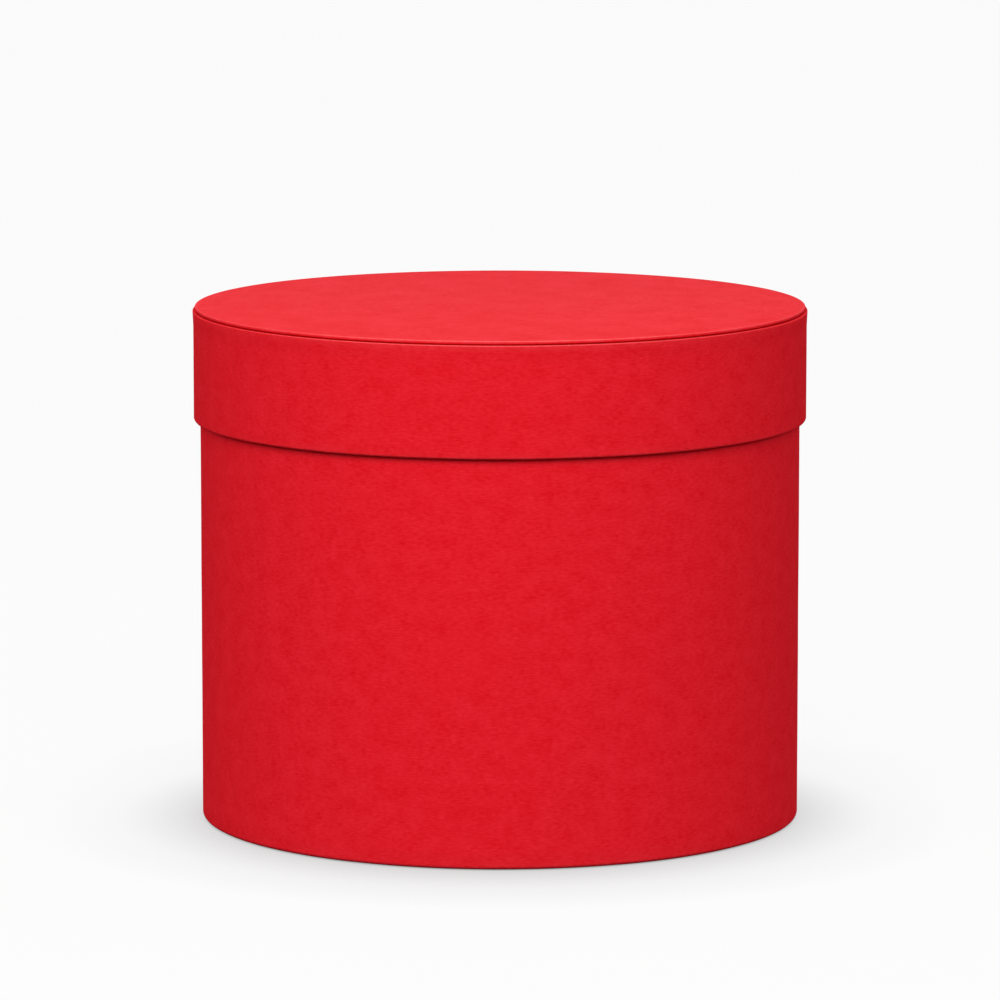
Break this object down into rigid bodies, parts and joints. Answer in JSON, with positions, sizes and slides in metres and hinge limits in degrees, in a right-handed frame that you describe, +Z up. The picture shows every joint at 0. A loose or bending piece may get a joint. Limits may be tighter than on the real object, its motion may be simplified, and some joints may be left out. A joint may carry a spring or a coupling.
{
  "type": "round flower box",
  "caption": "Round paper-covered greyboard box with a flat base and a deep lift-off lid, for cut flowers or gifts.",
  "frame": {"origin": "middle of the flat face that the box stands on", "axes": "+Z up along the axis of the box, front is -Y, the paper and board joints are at the back, +Y"},
  "size_m": [0.2048, 0.2048, 0.1723],
  "materials": {
    "red_paper": "matt, lightly textured",
    "greyboard": "matt, fibrous",
    "kraft_tape": "satin",
    "lining_paper": "matt"
  },
  "bodies": {
    "box": {"wall_board": "greyboard", "wall_joint_tape": "kraft_tape", "base_board": "greyboard", "wall_wrap": "red_paper", "base_paper": "red_paper", "wall_lining": "lining_paper", "base_lining": "lining_paper"},
    "lid": {"lid_rim_board": "greyboard", "lid_joint_tape": "kraft_tape", "lid_top_board": "greyboard", "lid_rim_wrap": "red_paper", "lid_top_paper": "red_paper", "lid_rim_lining": "lining_paper", "lid_top_lining": "lining_paper"}
  },
  "joints": [
    {"name": "lid_lift", "type": "slide", "parent": "box", "child": "lid", "axis": [0, 0, 1], "range_m": [0, 0.08]}
  ]
}
